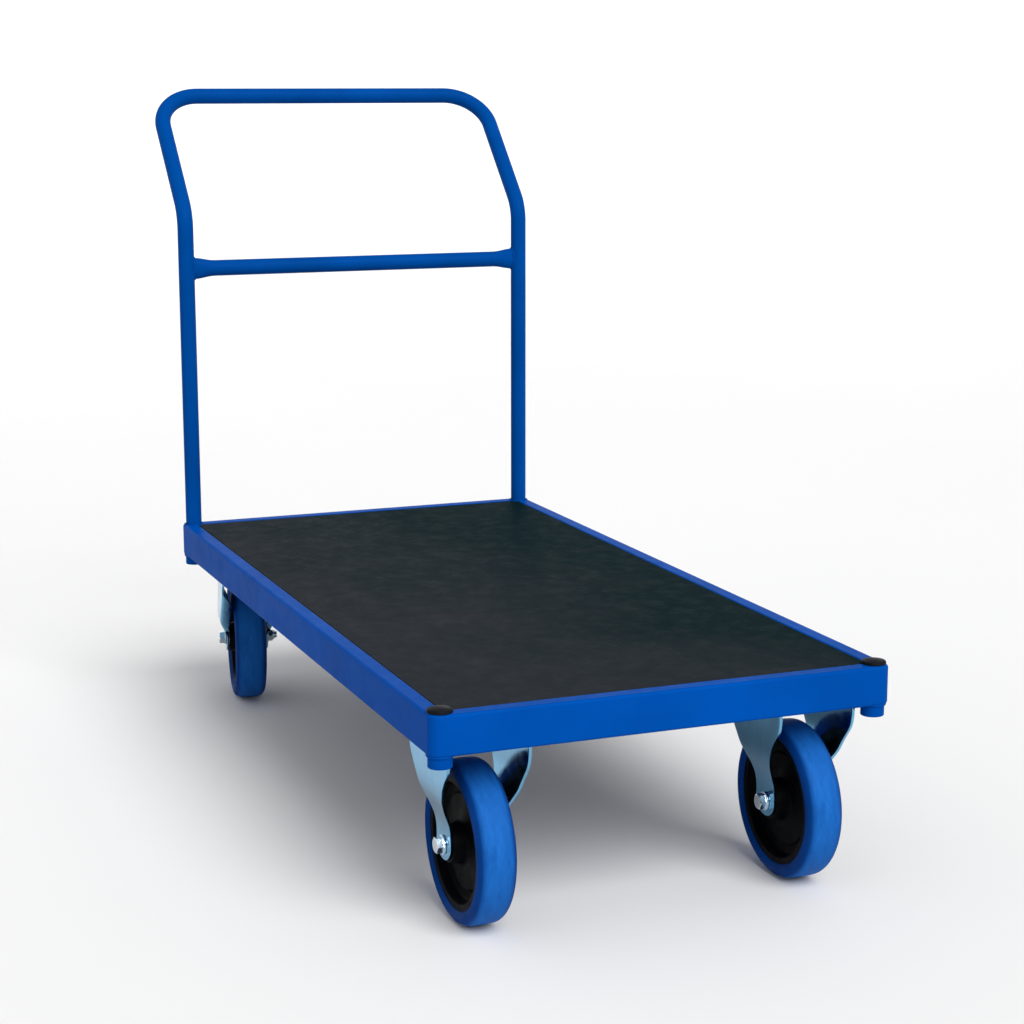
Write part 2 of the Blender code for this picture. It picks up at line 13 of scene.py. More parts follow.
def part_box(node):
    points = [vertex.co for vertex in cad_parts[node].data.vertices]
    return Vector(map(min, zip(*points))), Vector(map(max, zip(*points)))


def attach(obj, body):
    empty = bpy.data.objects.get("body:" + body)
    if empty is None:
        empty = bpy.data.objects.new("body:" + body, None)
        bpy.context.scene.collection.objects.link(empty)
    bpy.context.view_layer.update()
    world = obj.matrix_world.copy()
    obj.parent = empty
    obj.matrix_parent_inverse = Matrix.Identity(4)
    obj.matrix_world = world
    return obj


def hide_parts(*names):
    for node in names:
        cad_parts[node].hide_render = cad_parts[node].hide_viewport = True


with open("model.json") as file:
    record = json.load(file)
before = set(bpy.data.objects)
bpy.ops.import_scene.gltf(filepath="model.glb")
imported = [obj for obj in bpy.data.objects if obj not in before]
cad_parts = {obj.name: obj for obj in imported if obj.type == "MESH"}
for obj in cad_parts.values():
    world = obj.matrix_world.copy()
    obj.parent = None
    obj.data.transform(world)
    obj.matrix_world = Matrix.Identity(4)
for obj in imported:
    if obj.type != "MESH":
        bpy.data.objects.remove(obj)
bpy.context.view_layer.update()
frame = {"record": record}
BODY_OF = {node: body for body, nodes in frame["record"]["behaviour"]["bodies"].items() for node in nodes}


# ---- measures taken from the frame ---------------------------------------------------------------
def middle(node):
    low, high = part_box(node)
    return (low + high) / 2


def size(node):
    low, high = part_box(node)
    return high - low


RAIL_LOW, RAIL_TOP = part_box("side_rail_left")[0].z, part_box("side_rail_left")[1].z
RAIL_WIDTH = size("side_rail_left").y
FRONT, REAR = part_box("end_rail_front")[1].x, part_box("end_rail_rear")[0].x
HALF_LENGTH = (FRONT - REAR) / 2
HALF_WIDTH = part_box("side_rail_left")[1].y
MIDDLE_X = (FRONT + REAR) / 2
BOARD_LOW, BOARD_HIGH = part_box("deck_board")
SOCKET_R = size("socket_tube_front_left").x / 2
SOCKET_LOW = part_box("socket_tube_front_left")[0].z
CAP_R = size("socket_cap_left").x / 2
CAP_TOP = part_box("socket_cap_left")[1].z
LEG_X, LEG_Y = middle("socket_tube_rear_left").x, middle("socket_tube_rear_left").y
HOOP_LOW, HOOP_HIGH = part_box("handle_hoop")
TUBE_R = HOOP_HIGH.y - LEG_Y
GRIP_Z = HOOP_HIGH.z - TUBE_R
SETBACK = LEG_X - (HOOP_LOW.x + TUBE_R)
CROSSBAR_Z = middle("handle_crossbar").z
PLATE_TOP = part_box("rear_left_top_plate")[1].z
PLATE_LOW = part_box("rear_left_top_plate")[0].z
PLATE_HALF_LENGTH = size("rear_left_top_plate").x / 2
TRAIL = (middle("rear_left_ball_race").to_2d() - middle("rear_left_tyre").to_2d()).length
WHEEL_R = size("front_left_tyre").z / 2

# ---- measures of the fine detail -----------------------------------------------------------------
RAIL_OUTER_R = 0.0040
RAIL_INNER_R = 0.0028
CORNER_R = 0.0140
SOCKET_BORE_R = 0.0129
KINK_Z = 0.788
KINK_R = 0.060
GRIP_BEND_R = 0.068
CROSSBAR_FLAT = (0.58, 1.35)        # squeezed end of the crossbar: share of the tube's depth and height
CROSSBAR_SQUEEZE = 0.032            # length over which the tube is squeezed
PRESSING_WALL = 0.0025              # cross members under the deck
PRESSING_BEND_R = 0.0050
SHEET = 0.0035                      # caster housings
FOLD_R = 0.0040                     # middle of the sheet at a folded edge
AXLE_FACE = 0.0335                  # outer face of a caster leg at the axle
PLATE_BOLTS = {"front": (0.0525, 0.0360), "rear": (0.0525, 0.0400)}     # from a caster plate's middle
HEX_R = 0.0105
HEX_HEIGHT = 0.0085
AXLE_R = 0.0060
AXLE_WASHER = (0.0120, 0.0020)      # outer radius and thickness
PLATE_WASHER = (0.0100, 0.0018)
PLATE_HEX_R = 0.0095
PLATE_BORE_R = 0.0050
THREAD_PITCH = 0.00125
THREAD_DEPTH = 0.0007


# ---- shader helpers ------------------------------------------------------------------------------
def add(mat, kind, inputs=None, **settings):
    """A node with its settings, whose inputs are values or other nodes' outputs."""
    node = mat.node_tree.nodes.new(kind)
    for key, value in settings.items():
        setattr(node, key, value)
    for key, value in (inputs or {}).items():
        if isinstance(value, bpy.types.NodeSocket):
            mat.node_tree.links.new(value, node.inputs[key])
        else:
            node.inputs[key].default_value = value
    return node


def object_space(mat, scale=(1.0, 1.0, 1.0)):
    place = add(mat, "ShaderNodeTexCoord").outputs["Object"]
    return add(mat, "ShaderNodeMapping", {"Vector": place, "Scale": scale}).outputs["Vector"]


def clouds(mat, where, scale, detail=3.0, rough=0.55):
    return add(mat, "ShaderNodeTexNoise", {"Vector": where, "Scale": scale, "Detail": detail,
                                           "Roughness": rough}).outputs["Fac"]


def spread(mat, value, low, high, start=0.35, stop=0.65):
    """Maps a texture's start..stop to low..high, held at the ends."""
    return add(mat, "ShaderNodeMapRange", {"Value": value, "From Min": start, "From Max": stop,
                                           "To Min": low, "To Max": high}).outputs["Result"]


def blend_colours(mat, share, first, second):
    node = add(mat, "ShaderNodeMix", data_type="RGBA")
    for index, value in ((0, share), (6, first), (7, second)):
        if isinstance(value, bpy.types.NodeSocket):
            mat.node_tree.links.new(value, node.inputs[index])
        elif index == 0:
            node.inputs[index].default_value = value
        else:
            node.inputs[index].default_value = (*value, 1.0)
    return node.outputs[2]


def relief(mat, height, depth, before=None):
    inputs = {"Height": height, "Distance": depth, "Strength": 1.0}
    if before is not None:
        inputs["Normal"] = before
    return add(mat, "ShaderNodeBump", inputs).outputs["Normal"]


def shaded(colour):
    """Lighter and darker forms of a colour, for its natural variation."""
    return [tuple(min(1.0, part * share) for part in colour) for share in (0.90, 1.08)]


def surface(name, roughness=0.5, metallic=0.0, coat=0.0, specular=0.5):
    mat = bpy.data.materials.new(name)
    mat.use_nodes = True
    shader = mat.node_tree.nodes["Principled BSDF"]
    shader.inputs["Roughness"].default_value = roughness
    shader.inputs["Metallic"].default_value = metallic
    shader.inputs["Coat Weight"].default_value = coat
    shader.inputs["Coat Roughness"].default_value = 0.12
    shader.inputs["Specular IOR Level"].default_value = specular
    return mat


def feed(mat, **sources):
    shader = mat.node_tree.nodes["Principled BSDF"]
    for key, source in sources.items():
        mat.node_tree.links.new(source, shader.inputs[key.replace("_", " ")])
    return mat


# ---- finishes ------------------------------------------------------------------------------------
def powder_coat(name, colour, roughness):
    """Blue powder coat: slight orange peel, a little uneven in tone, worn a bit duller in places."""
    mat = surface(name, roughness, specular=0.006)
    where = object_space(mat)
    dark, light = shaded(colour)
    tone = blend_colours(mat, spread(mat, clouds(mat, where, 7.0, 4.0), 0.0, 1.0), dark, light)
    rubs = clouds(mat, object_space(mat, (40.0, 40.0, 12.0)), 3.0, 8.0, 0.7)
    tone = blend_colours(mat, spread(mat, rubs, 0.0, 0.20, 0.62, 0.78), tone, (0.010, 0.085, 0.300))
    gloss = spread(mat, clouds(mat, where, 45.0, 5.0), roughness - 0.03, roughness + 0.05)
    peel = clouds(mat, where, 520.0, 2.0)
    return feed(mat, Base_Color=tone, Roughness=gloss, Normal=relief(mat, peel, 0.00010))


def deck_film():
    """Black phenolic film on plywood, pressed with a fine wire mesh against slipping, scuffed by loads, with
    a painted sheen towards the front and the -Y side.
    """
    mat = surface("deck_film", 0.45, specular=0.003)
    where = object_space(mat)
    scuffs = clouds(mat, where, 34.0, 9.0, 0.72)
    dust = clouds(mat, where, 3.2, 6.0, 0.6)
    parts = add(mat, "ShaderNodeSeparateXYZ", {"Vector": where}).outputs
    # Painted sheen: the film's colour runs greyer towards the front and the -Y side, standing for a
    # reflection there; the dust noise mixed in is real dust.
    ahead = spread(mat, parts["X"], -0.15, 0.15, BOARD_LOW.x, BOARD_HIGH.x)
    sheen_across = spread(mat, parts["Y"], 0.32, -0.32, BOARD_LOW.y, BOARD_HIGH.y)
    place = add(mat, "ShaderNodeMath", {0: ahead, 1: sheen_across}, operation="ADD").outputs[0]
    dust_and_sheen = add(mat, "ShaderNodeMath", {0: place, 1: dust}, operation="ADD").outputs[0]
    tone = blend_colours(mat, spread(mat, dust_and_sheen, 0.0, 1.0, 0.25, 0.80), (0.0030, 0.0120, 0.0145),
                         (0.0195, 0.0230, 0.0280))
    tone = blend_colours(mat, spread(mat, scuffs, 0.0, 0.18, 0.55, 0.80), tone, (0.028, 0.031, 0.034))
    gloss = spread(mat, scuffs, 0.42, 0.62)
    turned = add(mat, "ShaderNodeMapping", {"Vector": where, "Rotation": (0.0, 0.0, math.radians(45))})
    wires = [add(mat, "ShaderNodeTexWave", {"Vector": turned.outputs["Vector"], "Scale": 36.0},
                 wave_type="BANDS", bands_direction=axis, wave_profile="SIN").outputs["Fac"] for axis in "XY"]
    mesh = add(mat, "ShaderNodeMath", {0: wires[0], 1: wires[1]}, operation="MAXIMUM").outputs[0]
    fine = relief(mat, clouds(mat, where, 900.0, 3.0), 0.00006)
    return feed(mat, Base_Color=tone, Roughness=gloss, Normal=relief(mat, mesh, 0.00012, fine))


def blue_rubber():
    """Elastic blue tyre rubber, matt and scuffed. The tread is lighter, partly greyed wear where it rolls and
    partly painted light; the sidewalls are darkened as painted shade.
    """
    mat = surface("blue_rubber", 0.5, specular=0.03)
    where = object_space(mat)
    parts = add(mat, "ShaderNodeSeparateXYZ", {"Vector": where}).outputs
    across = add(mat, "ShaderNodeCombineXYZ", {"X": parts["X"], "Y": parts["Y"]}).outputs[0]
    radius = add(mat, "ShaderNodeVectorMath", {0: across}, operation="LENGTH").outputs["Value"]
    # Painted shade and light: the sidewall colour is kept far darker than the tread, standing for the shade
    # under the platform; the wear noise on the tread is real wear.
    tread = spread(mat, radius, 0.0, 1.0, WHEEL_R - 0.0035, WHEEL_R - 0.0004)
    worn = clouds(mat, object_space(mat, (1.0, 1.0, 4.0)), 28.0, 8.0, 0.68)
    wear = spread(mat, worn, 0.55, 1.0)
    share = add(mat, "ShaderNodeMath", {0: tread, 1: wear}, operation="MULTIPLY").outputs[0]
    dark, light = shaded((0.001, 0.034, 0.180))
    tone = blend_colours(mat, spread(mat, clouds(mat, where, 22.0, 4.0), 0.0, 1.0), dark, light)
    tone = blend_colours(mat, share, tone, (0.011, 0.120, 0.440))
    gloss = spread(mat, worn, 0.42, 0.62)
    grain = clouds(mat, where, 700.0, 4.0)
    return feed(mat, Base_Color=tone, Roughness=gloss, Normal=relief(mat, grain, 0.00012))


def moulded_black(name, colour, roughness):
    """Black moulded plastic with a fine eroded grain and a trace of dust."""
    mat = surface(name, roughness, specular=0.03)
    where = object_space(mat)
    dust = clouds(mat, where, 30.0, 8.0, 0.7)
    tone = blend_colours(mat, spread(mat, dust, 0.0, 0.4, 0.50, 0.80), colour, (0.016, 0.019, 0.023))
    gloss = spread(mat, clouds(mat, where, 60.0, 4.0), roughness - 0.07, roughness + 0.10)
    grain = clouds(mat, where, 1100.0, 3.0)
    return feed(mat, Base_Color=tone, Roughness=gloss, Normal=relief(mat, grain, 0.00008))


def plated(name, colour, roughness, streak=1.0):
    """Zinc-plated or ground steel: faint rolling streaks, patchy gloss, a few dull spots."""
    mat = surface(name, roughness, metallic=1.0)
    where = object_space(mat)
    streaks = clouds(mat, object_space(mat, (260.0, 260.0, 18.0)), streak, 6.0, 0.7)
    patches = clouds(mat, where, 55.0, 6.0, 0.65)
    dark, light = shaded(colour)
    tone = blend_colours(mat, spread(mat, streaks, 0.0, 1.0), dark, light)
    dull = tuple(0.70 * part for part in colour)
    tone = blend_colours(mat, spread(mat, patches, 0.0, 0.5, 0.58, 0.80), tone, dull)
    gloss = spread(mat, patches, roughness - 0.05, roughness + 0.08)
    return feed(mat, Base_Color=tone, Roughness=gloss, Normal=relief(mat, streaks, 0.00005))


FRAME_PAINT = powder_coat("frame_powder_coat", (0.000, 0.058, 0.310), 0.36)
# Painted shade: the handle's coat is a darker copy of the frame's blue, standing for the light falling off
# towards the handle at the rear.
SHADED_HANDLE_PAINT = powder_coat("handle_powder_coat_painted_shade", (0.000, 0.052, 0.255), 0.30)
DECK = deck_film()
RUBBER = blue_rubber()
CAP = moulded_black("cap_plastic", (0.0050, 0.0060, 0.0085), 0.40)
POLYAMIDE = moulded_black("wheel_polyamide", (0.0018, 0.0020, 0.0030), 0.46)
ZINC = plated("zinc_plated_sheet", (0.17, 0.43, 0.66), 0.13)
FASTENER = plated("zinc_fastener", (0.66, 0.74, 0.80), 0.22, 2.0)
BEARING = plated("bearing_steel", (0.34, 0.35, 0.37), 0.38, 3.0)


# ---- mesh helpers --------------------------------------------------------------------------------
def new_object(name, bm, sharp=35):
    mesh = bpy.data.meshes.new(name)
    bmesh.ops.remove_doubles(bm, verts=bm.verts, dist=0.00002)
    bmesh.ops.recalc_face_normals(bm, faces=bm.faces)
    bm.to_mesh(mesh)
    bm.free()
    mesh.shade_smooth()
    mesh.set_sharp_from_angle(angle=math.radians(sharp))
    obj = bpy.data.objects.new(name, mesh)
    bpy.context.scene.collection.objects.link(obj)
    return obj


def shell(bm, rings, loop=False, caps=True, wrap=True):
    """Skin neighbouring rings of points. loop joins the last ring to the first, wrap closes each ring."""
    rows = [[bm.verts.new(point) for point in ring] for ring in rings]
    pairs = list(zip(rows, rows[1:]))
    if loop:
        pairs.append((rows[-1], rows[0]))
    count = len(rows[0])
    for first, second in pairs:
        for i in range(count if wrap else count - 1):
            j = (i + 1) % count
            bm.faces.new((first[i], first[j], second[j], second[i]))
    if caps and not loop:
        bm.faces.new(list(reversed(rows[0])))
        bm.faces.new(rows[-1])


def loft(name, rings, sharp=35, **how):
    bm = bmesh.new()
    shell(bm, rings, **how)
    return new_object(name, bm, sharp)


def rounded(corners, radii, steps=6, closed=True):
    """The polyline through corners, each rounded by its radius, in 2-D or 3-D."""
    points = [Vector(corner) for corner in corners]
    out = []
    for i, radius in enumerate(radii):
        corner = points[i]
        if radius == 0 or (not closed and i in (0, len(points) - 1)):
            out.append(corner)
            continue
        back = (points[i - 1] - corner).normalized()
        ahead = (points[(i + 1) % len(points)] - corner).normalized()
        half = back.angle(ahead) / 2
        centre = corner + (back + ahead).normalized() * (radius / math.sin(half))
        first = corner + back * (radius / math.tan(half)) - centre
        last = corner + ahead * (radius / math.tan(half)) - centre
        sweep = math.pi - 2 * half
        for k in range(steps + 1):
            share = sweep * k / steps
            out.append(centre + (first * math.sin(sweep - share) + last * math.sin(share)) / math.sin(sweep))
    return out


def lathe_rings(profile, steps):
    turns = [2 * math.pi * i / steps for i in range(steps)]
    return [[(r * math.cos(a), r * math.sin(a), z) for r, z in profile] for a in turns]


def lathe(name, profile, steps=96, closed=True, sharp=35):
    """A turned piece about local Z from (radius, z) points; an open profile starts and ends on the axis."""
    return loft(name, lathe_rings(profile, steps), sharp, loop=True, wrap=closed)


def sweep(name, stations, first_side, sides=48, sharp=35, loop=False):
    """A tube through stations (place, direction, half width along the side, half height)."""
    side = Vector(first_side)
    rings = []
    for place, direction, half_width, half_height in stations:
        direction = Vector(direction).normalized()
        side = (side - direction * side.dot(direction)).normalized()
        up = direction.cross(side)
        rings.append([Vector(place) + side * (half_width * math.cos(a)) + up * (half_height * math.sin(a))
                      for a in (2 * math.pi * i / sides for i in range(sides))])
    return loft(name, rings, sharp, loop=loop)


def directions(route, closed=False):
    count = len(route)
    out = []
    for i in range(count):
        before = route[i - 1] if i or closed else route[0]
        after = route[(i + 1) % count] if i < count - 1 or closed else route[-1]
        out.append((after - before).normalized())
    return out


def weld(name, route, radius, body, finish):
    """A weld bead along a route: rippled like fish scales and a little uneven."""
    stations = []
    travelled = 0.0
    for i, (place, direction) in enumerate(zip(route, directions(route))):
        travelled += (place - route[i - 1]).length if i else 0.0
        ripple = 1.0 + 0.13 * abs(math.sin(travelled * math.pi / 0.0032))
        ripple += 0.12 * noise.noise(place * 160.0)
        taper = min(1.0, 0.45 + min(i, len(route) - 1 - i) * 0.18)
        stations.append((place, direction, radius * ripple * taper, radius * ripple * taper))
    side = Vector((0, 0, 1)) if abs(stations[0][1].z) < 0.9 else Vector((1, 0, 0))
    bead = sweep(name, stations, side, 10, 80)
    return outfit(bead, finish, body)


def applied(obj):
    """Turn an object's modifiers into its mesh."""
    graph = bpy.context.evaluated_depsgraph_get()
    mesh = bpy.data.meshes.new_from_object(obj.evaluated_get(graph), depsgraph=graph)
    obj.modifiers.clear()
    obj.data = mesh
    return obj


def drilled(obj, places, radius, low, high, sharp=35):
    """Cut upright round holes."""
    for x, y in places:
        bm = bmesh.new()
        bmesh.ops.create_cone(bm, cap_ends=True, segments=72, radius1=radius, radius2=radius,
                              depth=high - low)
        cutter = new_object("drill", bm)
        cutter.location = (x, y, (low + high) / 2)
        cut = obj.modifiers.new("hole", "BOOLEAN")
        cut.operation = "DIFFERENCE"
        cut.object = cutter
        bpy.context.view_layer.update()
        applied(obj)
        bpy.data.objects.remove(cutter)
    obj.data.shade_smooth()
    obj.data.set_sharp_from_angle(angle=math.radians(sharp))
    return obj


def even_normals(obj):
    """Keep large flat faces flat beside their rounded edges."""
    smooth = obj.modifiers.new("flat_faces", "WEIGHTED_NORMAL")
    smooth.keep_sharp = True
    smooth.weight = 80
    return obj


def outfit(obj, finish, body, nodes=(), place=None):
    """Place a piece, give it its finish, let it ride on a body and stand for CAD nodes."""
    if place is not None:
        obj.matrix_world = place
    obj.data.materials.clear()
    obj.data.materials.append(finish)
    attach(obj, body)
    if nodes:
        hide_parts(*nodes)
    return obj


def copied(name, original):
    """Another piece with the same mesh."""
    obj = bpy.data.objects.new(name, original.data)
    bpy.context.scene.collection.objects.link(obj)
    return obj


# ---- platform ------------------------------------------------------------------------------------
ENDS = (("front", 1), ("rear", -1))
SIDES = (("left", 1), ("right", -1))
SOCKETS = [middle("socket_tube_%s_%s" % (end, side)) for end, _ in ENDS for side, _ in SIDES]


def frame_ring():
    """The welded and ground frame: one rectangular tube bent round the platform."""
    section = rounded([(0, RAIL_LOW), (0, RAIL_TOP), (RAIL_WIDTH, RAIL_TOP), (RAIL_WIDTH, RAIL_LOW)],
                      (RAIL_OUTER_R, RAIL_OUTER_R, RAIL_INNER_R, RAIL_INNER_R), 7)
    rings = []
    for inset, z in section:
        half_x, half_y = HALF_LENGTH - inset, HALF_WIDTH - inset
        corner_r = max(CORNER_R - inset, 0.00002)
        corners = [(half_x, half_y), (-half_x, half_y), (-half_x, -half_y), (half_x, -half_y)]
        rings.append([(MIDDLE_X + p.x, p.y, z) for p in rounded(corners, [corner_r] * 4, 9)])
    ring = loft("frame_ring", rings, loop=True)
    drilled(ring, [(s.x, s.y) for s in SOCKETS], SOCKET_R + 0.00015, SOCKET_LOW - 0.01, RAIL_TOP + 0.01)
    nodes = ["side_rail_left", "side_rail_right", "end_rail_front", "end_rail_rear"]
    nodes += ["corner_%s_%s" % (end, side) for end, _ in ENDS for side, _ in SIDES]
    outfit(even_normals(ring), FRAME_PAINT, "platform", nodes)


def sockets():
    """Tubes through the frame's corners, welded round underneath and, at the rear, on top too."""
    outline = [(SOCKET_BORE_R, RAIL_TOP), (SOCKET_R, RAIL_TOP), (SOCKET_R, SOCKET_LOW),
               (SOCKET_BORE_R, SOCKET_LOW)]
    tube = lathe("socket", rounded(outline, (0.0003, 0.0006, 0.0011, 0.0004), 5), 72)
    weld_r, reach = SOCKET_R + 0.0003, math.radians(158)
    for end, along in ENDS:
        for side, across in SIDES:
            node = "socket_tube_%s_%s" % (end, side)
            at = middle(node)
            place = Matrix.Translation((at.x, at.y, 0))
            outfit(copied("socket_%s_%s" % (end, side), tube), FRAME_PAINT, "platform",
                   [node], place)
            inner = math.atan2(-across, -along)
            turns = [inner + math.pi + reach * (2 * i / 70 - 1) for i in range(71)]
            for z, radius, level in ((RAIL_LOW - 0.0002, 0.0017, "low"), (RAIL_TOP + 0.0001, 0.0009, "top")):
                if level == "top" and end == "front":
                    continue
                route = [Vector((at.x + weld_r * math.cos(a), at.y + weld_r * math.sin(a), z))
                         for a in turns]
                weld("socket_weld_%s_%s_%s" % (end, side, level), route, radius, "platform", FRAME_PAINT)
    bpy.data.objects.remove(tube)


def caps():
    """Domed plastic plugs with a rounded rim in the two front sockets."""
    base = RAIL_TOP + 0.0003
    stem_r, stem_low = SOCKET_BORE_R - 0.0004, base - 0.014
    dome = [(CAP_R * i / 10, CAP_TOP - 0.0020 * (i / 10) ** 2) for i in range(10)]
    outline = dome + [(CAP_R, CAP_TOP - 0.0022), (CAP_R, base), (stem_r, base), (stem_r, stem_low),
                      (0.0, stem_low)]
    radii = [0] * len(dome) + [0.0024, 0.0005, 0, 0.0008, 0]
    for side, _ in SIDES:
        node = "socket_cap_" + side
        at = middle(node)
        plug = lathe("cap_" + side, rounded(outline, radii, 6, closed=False), 72, closed=False)
        outfit(plug, CAP, BODY_OF[node], [node], Matrix.Translation((at.x, at.y, 0)))


def board():
    """Film-faced plywood with eased edges, notched round the sockets."""
    bm = bmesh.new()
    bmesh.ops.create_cube(bm, size=1.0)
    bmesh.ops.scale(bm, vec=BOARD_HIGH - BOARD_LOW, verts=bm.verts)
    bmesh.ops.translate(bm, vec=(BOARD_HIGH + BOARD_LOW) / 2, verts=bm.verts)
    bmesh.ops.bevel(bm, geom=bm.edges[:], offset=0.0008, segments=3, profile=0.5, affect="EDGES")
    panel = drilled(new_object("deck_panel", bm), [(s.x, s.y) for s in SOCKETS], SOCKET_R + 0.0004,
                    SOCKET_LOW, RAIL_TOP + 0.01)
    outfit(even_normals(panel), DECK, "platform", ["deck_board"])


def cross_members():
    """Pressed U channels under the board, welded to the side rails."""
    bead = 0.030
    for node in ("caster_channel_front", "caster_channel_rear", "deck_beam_front", "deck_beam_rear"):
        low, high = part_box(node)
        wall, bend = PRESSING_WALL, PRESSING_BEND_R
        outline = [(low.x, high.z), (low.x, low.z), (high.x, low.z), (high.x, high.z)]
        inside = [(high.x - wall, high.z), (high.x - wall, low.z + wall), (low.x + wall, low.z + wall),
                  (low.x + wall, high.z)]
        radii = (0, bend, bend, 0, 0, bend - wall, bend - wall, 0)
        points = rounded(outline + inside, radii, 5)
        rings = [[(p.x, y, p.y) for p in points] for y in (low.y, high.y)]
        outfit(even_normals(loft(node + "_pressing", rings)), FRAME_PAINT, "platform", [node])
        for side, across in SIDES:
            for place, x in (("a", low.x + bend), ("b", high.x - bend - bead)):
                route = [Vector((x + bead * i / 36, across * high.y, low.z - 0.0004)) for i in range(37)]
                weld("%s_weld_%s_%s" % (node, side, place), route, 0.0021, "platform", FRAME_PAINT)


# ---- handle --------------------------------------------------------------------------------------
def handle():
    """The bent hoop with rolled-in leg ends, and the crossbar, squeezed and welded at its ends."""
    half = [(LEG_X, LEG_Y, HOOP_LOW.z), (LEG_X, LEG_Y, KINK_Z), (LEG_X - SETBACK, LEG_Y, GRIP_Z)]
    corners = half + [(x, -y, z) for x, y, z in reversed(half)]
    route = rounded(corners, (0, KINK_R, GRIP_BEND_R, GRIP_BEND_R, KINK_R, 0), 26, closed=False)
    up = Vector((0, 0, 1))
    ends = [(route[0] + up * 0.008, up, TUBE_R - 0.0018), (route[0] + up * 0.0003, up, TUBE_R - 0.0018),
            (route[0], up, TUBE_R - 0.0013), (route[0], up, TUBE_R - 0.0005),
            (route[0] + up * 0.0004, up, TUBE_R)]
    stations = [(place, way, r, r) for place, way, r in ends]
    stations += [(place, way, TUBE_R, TUBE_R) for place, way in list(zip(route, directions(route)))[1:-1]]
    other = [(Vector((place.x, -place.y, place.z)), -way, r) for place, way, r in reversed(ends)]
    stations += [(place, way, r, r) for place, way, r in other]
    outfit(sweep("hoop", stations, (0, 1, 0), 56), SHADED_HANDLE_PAINT, "handle", ["handle_hoop"])

    stations = []
    for i in range(81):
        y = (LEG_Y - 0.004) * (i / 40 - 1)
        near_leg = max(0.0, abs(y) - (LEG_Y - TUBE_R - CROSSBAR_SQUEEZE)) / CROSSBAR_SQUEEZE
        share = min(1.0, near_leg)
        share = share * share * (3 - 2 * share)
        stations.append(((LEG_X, y, CROSSBAR_Z), (0, 1, 0), TUBE_R * (1 + (CROSSBAR_FLAT[0] - 1) * share),
                         TUBE_R * (1 + (CROSSBAR_FLAT[1] - 1) * share)))
    outfit(sweep("crossbar", stations, (1, 0, 0), 56), SHADED_HANDLE_PAINT, "handle",
           ["handle_crossbar"])
    for side, across in SIDES:
        route = []
        for i in range(90):
            turn = 2 * math.pi * i / 88
            x = TUBE_R * CROSSBAR_FLAT[0] * math.cos(turn)
            z = TUBE_R * CROSSBAR_FLAT[1] * math.sin(turn)
            y = LEG_Y - math.sqrt(TUBE_R ** 2 - x ** 2)
            route.append(Vector((LEG_X + x, across * y, CROSSBAR_Z + z)))
        weld("crossbar_weld_" + side, route, 0.0018, "handle", SHADED_HANDLE_PAINT)


# ---- fasteners -----------------------------------------------------------------------------------
def hexagon(radius, points_a_side=4):
    """A hexagon's outline as (angle, distance) pairs."""
    flat = radius * math.cos(math.pi / 6)
    out = []
    for i in range(6 * points_a_side):
        angle = math.pi / 3 * i / points_a_side
        out.append((angle, flat / math.cos((angle % (math.pi / 3)) - math.pi / 6)))
    return out


def hex_shell(bm, radius, low, high, chamfer_low=False, chamfer_high=True):
    """A hex prism along Z whose corners are turned down at 30 degrees, as on a bolt head or nut."""
    flat = radius * math.cos(math.pi / 6)
    fall = math.tan(math.radians(30))
    outline = hexagon(radius)
    rings = []

    def ring(distance, level):
        rings.append([(distance(d) * math.cos(a), distance(d) * math.sin(a), level(d)) for a, d in outline])

    if chamfer_low:
        ring(lambda d: flat * 0.95, lambda d: low)
        ring(lambda d: d, lambda d: low + (d - flat * 0.95) * fall)
    else:
        ring(lambda d: d, lambda d: low)
    if chamfer_high:
        ring(lambda d: d, lambda d: high - (d - flat * 0.95) * fall)
        ring(lambda d: flat * 0.95, lambda d: high)
    else:
        ring(lambda d: d, lambda d: high)
    shell(bm, rings)


def washer_shell(bm, inner, outer, low, high):
    edge = 0.0004
    outline = rounded([(inner, low), (outer, low), (outer, high), (inner, high)], (0, edge, edge, 0), 3)
    shell(bm, lathe_rings(outline, 40), loop=True)


def shank_shell(bm, radius, low, high, thread_from):
    """A bolt's shank along Z with turned thread crests from thread_from to its chamfered end."""
    profile = [(0.0, low), (radius, low), (radius, thread_from)]
    z = thread_from
    while z + THREAD_PITCH < high - 0.001:
        profile += [(radius - THREAD_DEPTH, z + THREAD_PITCH * 0.5), (radius, z + THREAD_PITCH * 0.9),
                    (radius, z + THREAD_PITCH)]
        z += THREAD_PITCH
    profile += [(radius - 0.0009, high), (0.0, high)]
    shell(bm, lathe_rings(profile, 32), loop=True, wrap=False)


def axle_bolt_mesh():
    bm = bmesh.new()
    face = AXLE_FACE + 0.0003
    outer, thick = AXLE_WASHER
    washer_shell(bm, AXLE_R, outer, -face - thick, -face)
    hex_shell(bm, HEX_R, -face - thick - HEX_HEIGHT, -face - thick, chamfer_low=True, chamfer_high=False)
    shank_shell(bm, AXLE_R, -face - 0.003, 0.0495, 0.030)
    return new_object("axle_bolt_form", bm, 25)


def axle_nut_mesh():
    bm = bmesh.new()
    face = AXLE_FACE + 0.0003
    outer, thick = AXLE_WASHER
    washer_shell(bm, AXLE_R + 0.0003, outer, face, face + thick)
    hex_shell(bm, HEX_R, face + thick, face + 0.0092, chamfer_low=True)
    collar = rounded([(AXLE_R + 0.0002, face + 0.009), (0.0082, face + 0.009), (0.0082, face + 0.0112),
                      (AXLE_R + 0.0002, face + 0.0112)], (0, 0, 0.0008, 0.0003), 4)
    shell(bm, lathe_rings(collar, 40), loop=True)
    return new_object("axle_nut_form", bm, 25)


